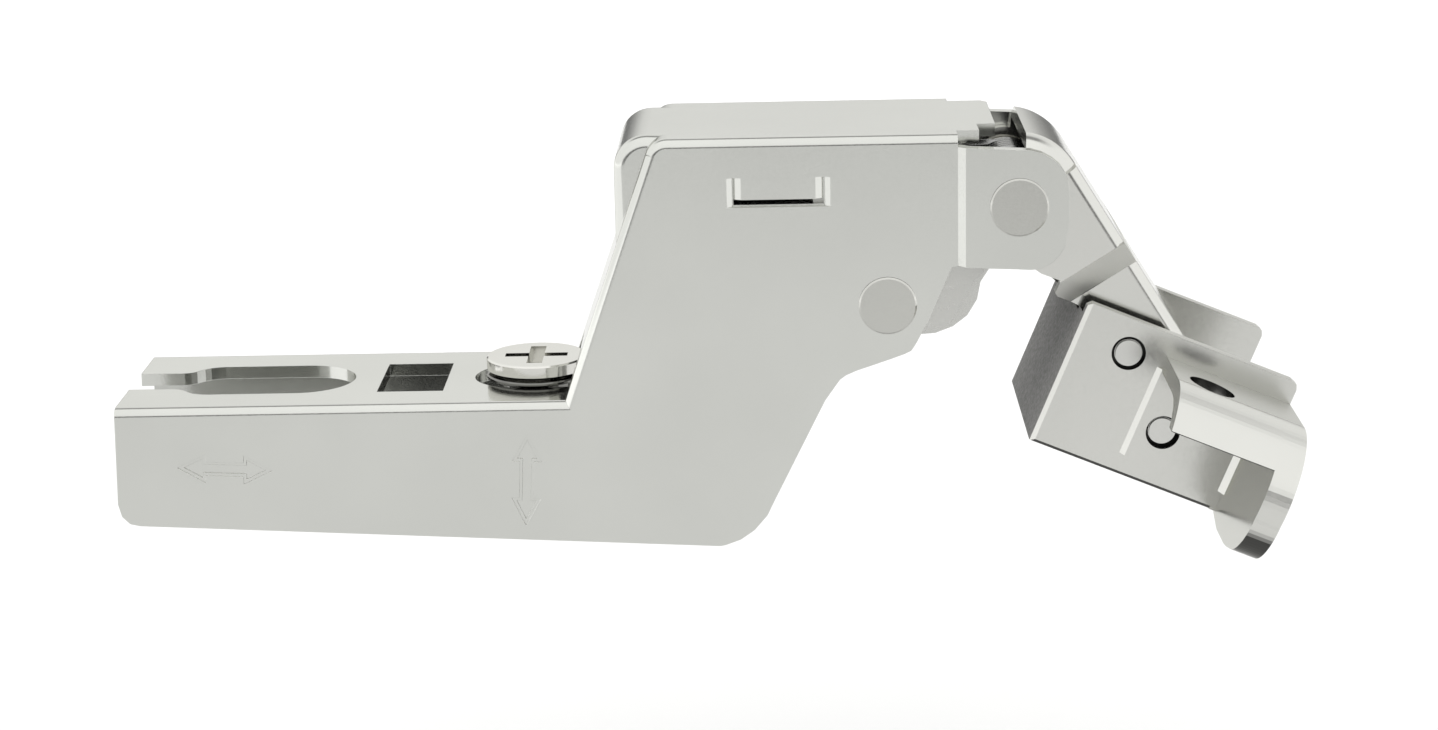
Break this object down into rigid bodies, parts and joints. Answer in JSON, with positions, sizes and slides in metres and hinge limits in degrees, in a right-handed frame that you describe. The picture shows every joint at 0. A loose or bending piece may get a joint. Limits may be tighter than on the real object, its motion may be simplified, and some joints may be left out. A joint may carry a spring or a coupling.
{
  "type": "concealed cup hinge",
  "caption": "Concealed cabinet hinge with a nickel-plated channel arm, two stamped links and a die-cast door bracket with two screw ears, shown fully open.",
  "frame": {"origin": "underside of the arm's low plate, on the middle plane, half way between the key slot's tip and the square window", "axes": "+X along the arm towards the door, +Y across the arm, +Z away from the cabinet side, normal to the low plate"},
  "size_m": [0.1071, 0.049, 0.0378],
  "materials": {
    "nickel_arm": "satin",
    "nickel_insert": "satin",
    "nickel_screw": "polished",
    "steel_pin": "satin",
    "sleeve_plastic": "matte",
    "spring_steel": "satin",
    "washer_plastic": "matte",
    "nickel_link": "polished",
    "nickel_link_inner": "satin",
    "nickel_casting": "satin"
  },
  "bodies": {
    "arm": {"hinge_arm": "nickel_arm", "arm_insert": "nickel_insert", "front_rivet_pin": "steel_pin", "rear_rivet_pin": "steel_pin", "spring_sleeve": "sleeve_plastic", "closing_spring": "spring_steel", "spacer_washer_left": "washer_plastic", "spacer_washer_right": "washer_plastic"},
    "side_screw": {"side_adjusting_screw": "nickel_screw"},
    "outer_link": {"outer_link": "nickel_link"},
    "bracket": {"door_bracket": "nickel_casting", "bracket_pin_inner": "steel_pin", "bracket_pin_outer": "steel_pin"},
    "inner_link": {"inner_link": "nickel_link_inner"}
  },
  "joints": [
    {"name": "front_pivot", "type": "hinge", "parent": "arm", "child": "outer_link", "pos_m": [0.0599, 0, 0.0186], "axis": [0, -1, 0], "range_deg": [-30.21, 0]},
    {"name": "door_fold", "type": "hinge", "parent": "outer_link", "child": "bracket", "pos_m": [0.0728, 0, -0.0022], "axis": [0, -1, 0], "range_deg": [0, 140.19]},
    {"name": "inner_pivot", "type": "hinge", "parent": "bracket", "child": "inner_link", "pos_m": [0.0697, 0, 0.0051], "axis": [0, -1, 0], "range_deg": [-170.5, 0]},
    {"name": "side_screw_turn", "type": "hinge", "parent": "arm", "child": "side_screw", "pos_m": [0.01574, 0, 0.0012], "axis": [0, 0, 1], "continuous": true}
  ],
  "couplings": [
    {"joint": "front_pivot", "follows": "door_fold", "ratio": -0.21536},
    {"joint": "inner_pivot", "follows": "door_fold", "ratio": -1.2161}
  ]
}
